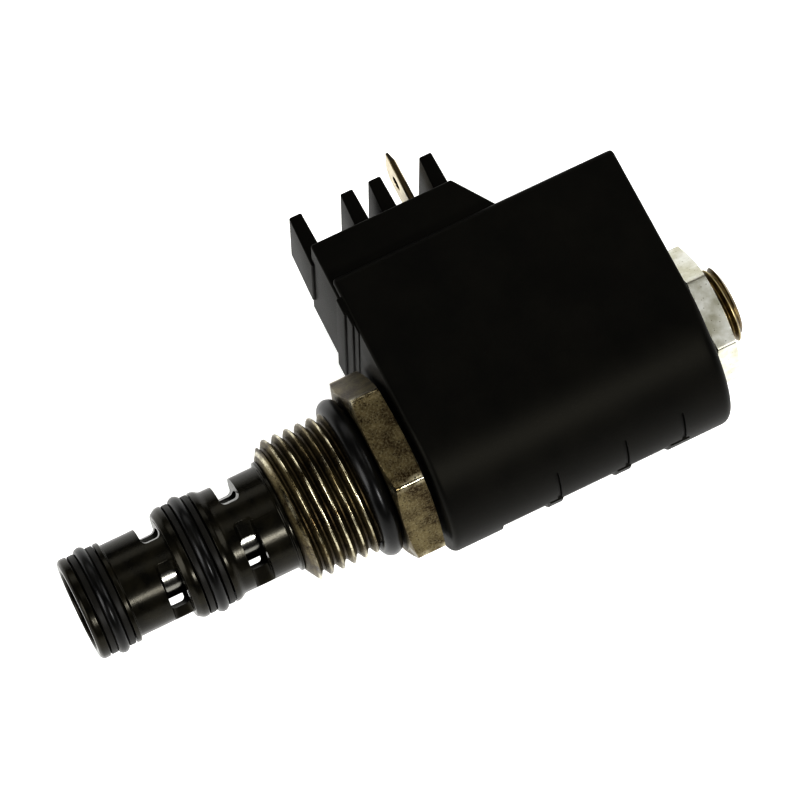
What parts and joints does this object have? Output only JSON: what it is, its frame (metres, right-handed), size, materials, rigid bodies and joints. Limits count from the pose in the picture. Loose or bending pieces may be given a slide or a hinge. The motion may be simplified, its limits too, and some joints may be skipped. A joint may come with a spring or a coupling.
{
  "type": "cartridge valve",
  "caption": "Screw-in hydraulic cartridge valve with ported nose, threaded hexagon body, sprung spool train and a turnable moulded coil held by a thin nut.",
  "frame": {"origin": "on the valve's axis at the hexagon's seating face", "axes": "+X along the valve's axis from the nose to the coil nut, +Y to the terminals, +Z square to the coil's flat sides"},
  "size_m": [0.0911, 0.0503, 0.0274],
  "materials": {
    "black_steel": "black oxide on turned steel, oiled, warm sheen",
    "plated_steel": "aged zinc plating, blotched and stained",
    "bright_steel": "ground and polished",
    "soft_iron": "turned",
    "spring_steel": "drawn wire",
    "tube_steel": "drawn tube",
    "stud_steel": "rolled thread, yellowed",
    "seal_rubber": "moulded, oily sheen",
    "backup_plastic": "dark filled plastic",
    "moulded_plastic": "black glass-filled moulding, fine grain",
    "bobbin_plastic": "moulded",
    "yoke_steel": "pressed sheet",
    "copper_wire": "enamelled wire",
    "terminal_brass": "stamped, tinned, worn",
    "bright_zinc": "bright zinc plating"
  },
  "bodies": {
    "cartridge": {"nose_cage": "black_steel", "hex_body": "plated_steel", "guide_tube": "tube_steel", "pole_piece": "stud_steel", "nose_o_ring": "seal_rubber", "nose_backup_ring_front": "backup_plastic", "nose_backup_ring_rear": "backup_plastic", "middle_o_ring": "seal_rubber", "middle_backup_ring_front": "backup_plastic", "middle_backup_ring_rear": "backup_plastic", "seat_o_ring": "seal_rubber"},
    "spool_train": {"spool": "bright_steel", "spool_link": "bright_steel", "plunger": "soft_iron", "return_spring": "spring_steel"},
    "coil": {"coil_housing": "moulded_plastic", "flux_washer_left": "yoke_steel", "flux_washer_right": "yoke_steel", "yoke": "yoke_steel", "bobbin": "bobbin_plastic", "winding": "copper_wire", "terminal_blade": "terminal_brass", "terminal_stub": "terminal_brass", "lead_wire_blade": "copper_wire", "lead_wire_stub": "copper_wire"},
    "nut_washer": {"nut_washer": "bright_zinc"},
    "coil_nut": {"coil_nut": "bright_zinc"}
  },
  "joints": [
    {"name": "spool_stroke", "type": "slide", "parent": "cartridge", "child": "spool_train", "axis": [1, 0, 0], "range_m": [0, 0.0029], "stiffness_N_per_m": 1500, "springref_m": -0.004, "deforming": ["return_spring"]},
    {"name": "coil_swivel", "type": "hinge", "parent": "cartridge", "child": "coil", "pos_m": [0.025, 0, 0], "axis": [1, 0, 0], "continuous": true},
    {"name": "nut_travel", "type": "slide", "parent": "cartridge", "child": "nut_washer", "axis": [1, 0, 0], "range_m": [0, 0.003]},
    {"name": "nut_turn", "type": "hinge", "parent": "nut_washer", "child": "coil_nut", "pos_m": [0.0465, 0, 0], "axis": [1, 0, 0], "range_deg": [0, 1080]}
  ],
  "couplings": [
    {"joint": "nut_travel", "follows": "nut_turn", "m_per_rad": 0.00015915}
  ]
}
